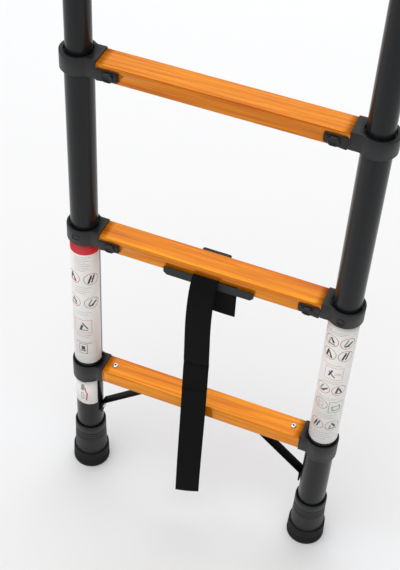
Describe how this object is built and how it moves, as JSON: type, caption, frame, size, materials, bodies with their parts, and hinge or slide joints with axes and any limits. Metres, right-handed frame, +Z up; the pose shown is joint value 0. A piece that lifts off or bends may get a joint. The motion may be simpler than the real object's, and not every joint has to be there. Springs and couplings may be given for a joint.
{
  "type": "telescopic extension ladder",
  "caption": "Telescopic ladder: nested stile tubes, flat-topped rungs in moulded collars with thumb latches, braced bottom rung, rubber-soled feet and a carrying strap.",
  "frame": {"origin": "on the floor, halfway between the two feet", "axes": "+Z up along the stiles, +X along the rungs to the user's right, -Y towards the user"},
  "size_m": [0.464, 0.0791, 2.0666],
  "materials": {
    "tube_finish": "satin dark grey",
    "rung_anodised": "satin orange anodised",
    "collar_plastic": "fine moulded texture",
    "latch_plastic": "fine moulded texture",
    "trim_plastic": "fine moulded texture",
    "sole_rubber": "matt",
    "brace_steel": "black powder coat",
    "fastener_steel": "bright zinc",
    "strap_webbing": "woven"
  },
  "bodies": {
    "base": {"stile_1_left": "tube_finish", "foot_sleeve_left": "trim_plastic", "foot_sole_left": "sole_rubber", "rung_screw_left": "fastener_steel", "brace_left": "brace_steel", "brace_rivet_left": "fastener_steel", "brace_rung_rivet_left": "fastener_steel", "collar_1_left": "collar_plastic", "collar_2_left": "collar_plastic", "stile_1_right": "tube_finish", "foot_sleeve_right": "trim_plastic", "foot_sole_right": "sole_rubber", "rung_screw_right": "fastener_steel", "brace_right": "brace_steel", "brace_rivet_right": "fastener_steel", "brace_rung_rivet_right": "fastener_steel", "collar_1_right": "collar_plastic", "collar_2_right": "collar_plastic", "rung_1": "rung_anodised", "rung_2": "rung_anodised", "strap_plate": "trim_plastic", "strap": "strap_webbing", "strap_tail": "strap_webbing"},
    "section_3": {"rung_3": "rung_anodised", "stile_2_left": "tube_finish", "collar_3_left": "collar_plastic", "stile_2_right": "tube_finish", "collar_3_right": "collar_plastic"},
    "section_4": {"rung_4": "rung_anodised", "stile_3_left": "tube_finish", "collar_4_left": "collar_plastic", "stile_3_right": "tube_finish", "collar_4_right": "collar_plastic"},
    "section_5": {"rung_5": "rung_anodised", "stile_4_left": "tube_finish", "collar_5_left": "collar_plastic", "stile_4_right": "tube_finish", "collar_5_right": "collar_plastic"},
    "section_6": {"rung_6": "rung_anodised", "stile_5_left": "tube_finish", "collar_6_left": "collar_plastic", "stile_5_right": "tube_finish", "collar_6_right": "collar_plastic"},
    "section_7": {"rung_7": "rung_anodised", "stile_6_left": "tube_finish", "collar_7_left": "collar_plastic", "stile_6_right": "tube_finish", "collar_7_right": "collar_plastic", "top_cap_left": "trim_plastic", "top_cap_right": "trim_plastic"},
    "latch_body_2_left": {"latch_2_left": "latch_plastic"},
    "latch_body_2_right": {"latch_2_right": "latch_plastic"},
    "latch_body_3_left": {"latch_3_left": "latch_plastic"},
    "latch_body_3_right": {"latch_3_right": "latch_plastic"},
    "latch_body_4_left": {"latch_4_left": "latch_plastic"},
    "latch_body_4_right": {"latch_4_right": "latch_plastic"},
    "latch_body_5_left": {"latch_5_left": "latch_plastic"},
    "latch_body_5_right": {"latch_5_right": "latch_plastic"},
    "latch_body_6_left": {"latch_6_left": "latch_plastic"},
    "latch_body_6_right": {"latch_6_right": "latch_plastic"}
  },
  "joints": [
    {"name": "section_3_slide", "type": "slide", "parent": "base", "child": "section_3", "axis": [0, 0, 1], "range_m": [-0.272, 0]},
    {"name": "section_4_slide", "type": "slide", "parent": "section_3", "child": "section_4", "axis": [0, 0, 1], "range_m": [-0.272, 0]},
    {"name": "section_5_slide", "type": "slide", "parent": "section_4", "child": "section_5", "axis": [0, 0, 1], "range_m": [-0.272, 0]},
    {"name": "section_6_slide", "type": "slide", "parent": "section_5", "child": "section_6", "axis": [0, 0, 1], "range_m": [-0.272, 0]},
    {"name": "section_7_slide", "type": "slide", "parent": "section_6", "child": "section_7", "axis": [0, 0, 1], "range_m": [-0.272, 0]},
    {"name": "latch_2_left_slide", "type": "slide", "parent": "base", "child": "latch_body_2_left", "axis": [1, 0, 0], "range_m": [0, 0.008], "stiffness_N_per_m": 350, "springref_m": -0.006},
    {"name": "latch_2_right_slide", "type": "slide", "parent": "base", "child": "latch_body_2_right", "axis": [-1, 0, 0], "range_m": [0, 0.008], "stiffness_N_per_m": 350, "springref_m": -0.006},
    {"name": "latch_3_left_slide", "type": "slide", "parent": "section_3", "child": "latch_body_3_left", "axis": [1, 0, 0], "range_m": [0, 0.008], "stiffness_N_per_m": 350, "springref_m": -0.006},
    {"name": "latch_3_right_slide", "type": "slide", "parent": "section_3", "child": "latch_body_3_right", "axis": [-1, 0, 0], "range_m": [0, 0.008], "stiffness_N_per_m": 350, "springref_m": -0.006},
    {"name": "latch_4_left_slide", "type": "slide", "parent": "section_4", "child": "latch_body_4_left", "axis": [1, 0, 0], "range_m": [0, 0.008], "stiffness_N_per_m": 350, "springref_m": -0.006},
    {"name": "latch_4_right_slide", "type": "slide", "parent": "section_4", "child": "latch_body_4_right", "axis": [-1, 0, 0], "range_m": [0, 0.008], "stiffness_N_per_m": 350, "springref_m": -0.006},
    {"name": "latch_5_left_slide", "type": "slide", "parent": "section_5", "child": "latch_body_5_left", "axis": [1, 0, 0], "range_m": [0, 0.008], "stiffness_N_per_m": 350, "springref_m": -0.006},
    {"name": "latch_5_right_slide", "type": "slide", "parent": "section_5", "child": "latch_body_5_right", "axis": [-1, 0, 0], "range_m": [0, 0.008], "stiffness_N_per_m": 350, "springref_m": -0.006},
    {"name": "latch_6_left_slide", "type": "slide", "parent": "section_6", "child": "latch_body_6_left", "axis": [1, 0, 0], "range_m": [0, 0.008], "stiffness_N_per_m": 350, "springref_m": -0.006},
    {"name": "latch_6_right_slide", "type": "slide", "parent": "section_6", "child": "latch_body_6_right", "axis": [-1, 0, 0], "range_m": [0, 0.008], "stiffness_N_per_m": 350, "springref_m": -0.006}
  ]
}
